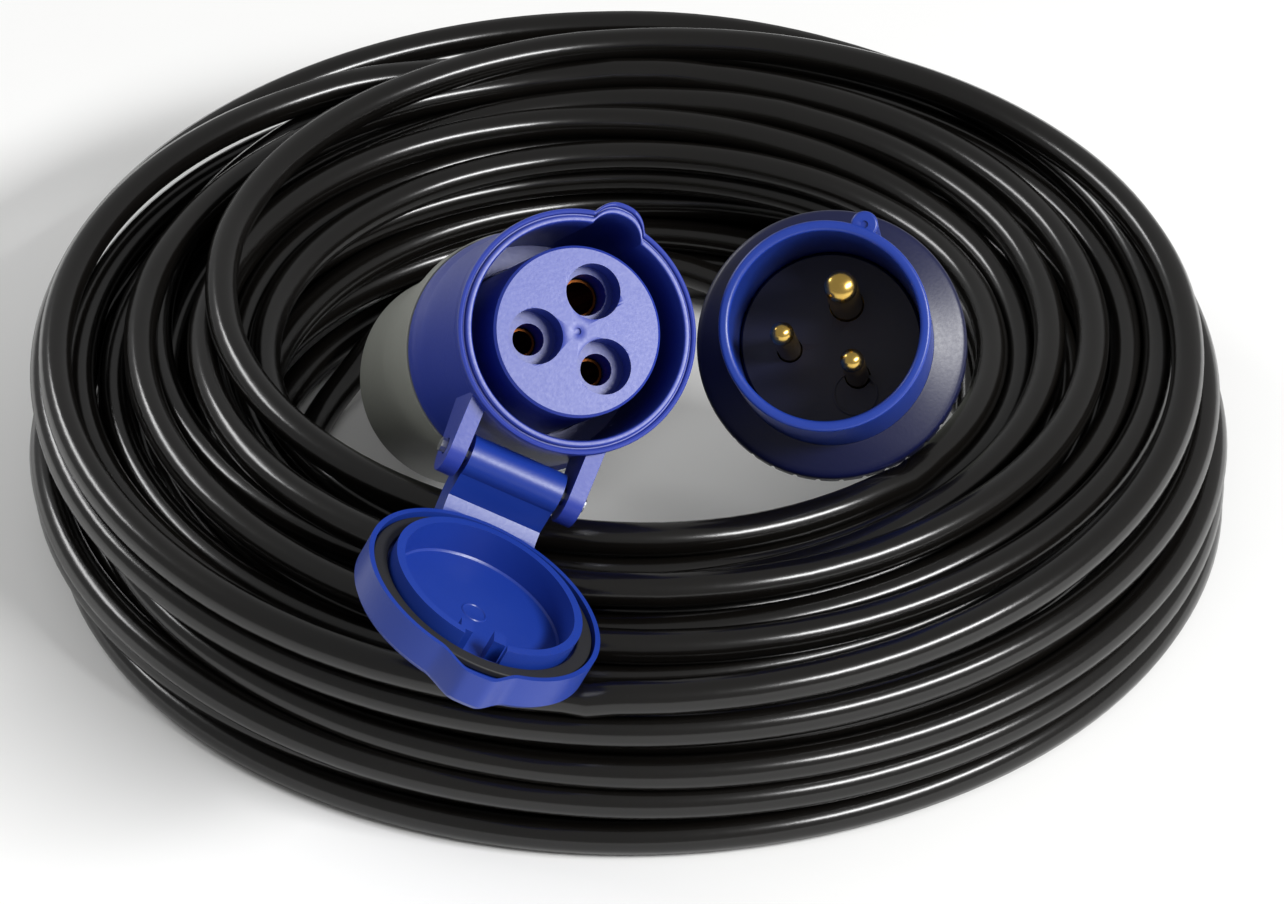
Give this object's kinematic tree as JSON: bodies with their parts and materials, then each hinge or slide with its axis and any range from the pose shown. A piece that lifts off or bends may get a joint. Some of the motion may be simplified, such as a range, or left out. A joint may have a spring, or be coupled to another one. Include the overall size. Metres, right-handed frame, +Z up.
{
  "type": "shore power cord",
  "caption": "Coiled black cable with a blue pin plug on one end and a blue socket connector with a hinged lid on the other, for feeding mains power to a caravan.",
  "frame": {"origin": "on the floor, under the middle of the whole part's outer box", "axes": "+Z up, the coil lying flat; -Y towards the side of the coil that both ends lean over; +X from the connector towards the plug"},
  "size_m": [0.269, 0.292, 0.1156],
  "materials": {
    "blue_housing": "moulded nylon, satin",
    "navy_housing": "moulded nylon, satin",
    "grey_housing": "moulded nylon, fine matt",
    "black_rubber": "moulded rubber, matt",
    "brass_contact": "turned",
    "plated_steel": "zinc plated",
    "cord_sheath": "extruded PVC, semi-gloss",
    "core_earth": "PVC insulation",
    "core_line": "PVC insulation",
    "core_neutral": "PVC insulation"
  },
  "bodies": {
    "root": {"connector_clamp_screw_1": "plated_steel", "connector_clamp_screw_2": "plated_steel", "connector_cord_clamp": "grey_housing", "connector_core_earth": "core_earth", "connector_core_line": "core_line", "connector_core_neutral": "core_neutral", "connector_gland_nut": "grey_housing", "connector_rear_shell": "grey_housing", "connector_sheath_end": "cord_sheath", "connector_shell": "blue_housing", "connector_strain_relief": "black_rubber", "connector_terminal_screw_earth": "plated_steel", "connector_terminal_screw_line": "plated_steel", "connector_terminal_screw_neutral": "plated_steel", "contact_sleeve_earth": "brass_contact", "contact_sleeve_line": "brass_contact", "contact_sleeve_neutral": "brass_contact", "cord_coil": "cord_sheath", "cord_end_at_connector": "cord_sheath", "cord_end_at_plug": "cord_sheath", "earth_pin": "brass_contact", "hinge_pin": "plated_steel", "lid_spring": "plated_steel", "line_pin": "brass_contact", "neutral_pin": "brass_contact", "pin_carrier": "navy_housing", "plug_clamp_screw_1": "plated_steel", "plug_clamp_screw_2": "plated_steel", "plug_cord_clamp": "grey_housing", "plug_core_earth": "core_earth", "plug_core_line": "core_line", "plug_core_neutral": "core_neutral", "plug_gland_nut": "grey_housing", "plug_rear_shell": "grey_housing", "plug_sheath_end": "cord_sheath", "plug_shell": "navy_housing", "plug_strain_relief": "black_rubber", "plug_terminal_screw_earth": "plated_steel", "plug_terminal_screw_line": "plated_steel", "plug_terminal_screw_neutral": "plated_steel", "socket_insert": "blue_housing"},
    "lid": {"lid": "navy_housing", "lid_gasket": "black_rubber"}
  },
  "joints": [
    {"name": "lid_hinge", "type": "hinge", "parent": "root", "child": "lid", "pos_m": [-0.02349, -0.08464, 0.07082], "axis": [-0.8902, 0.039, 0.4539], "range_deg": [0, 131]}
  ]
}
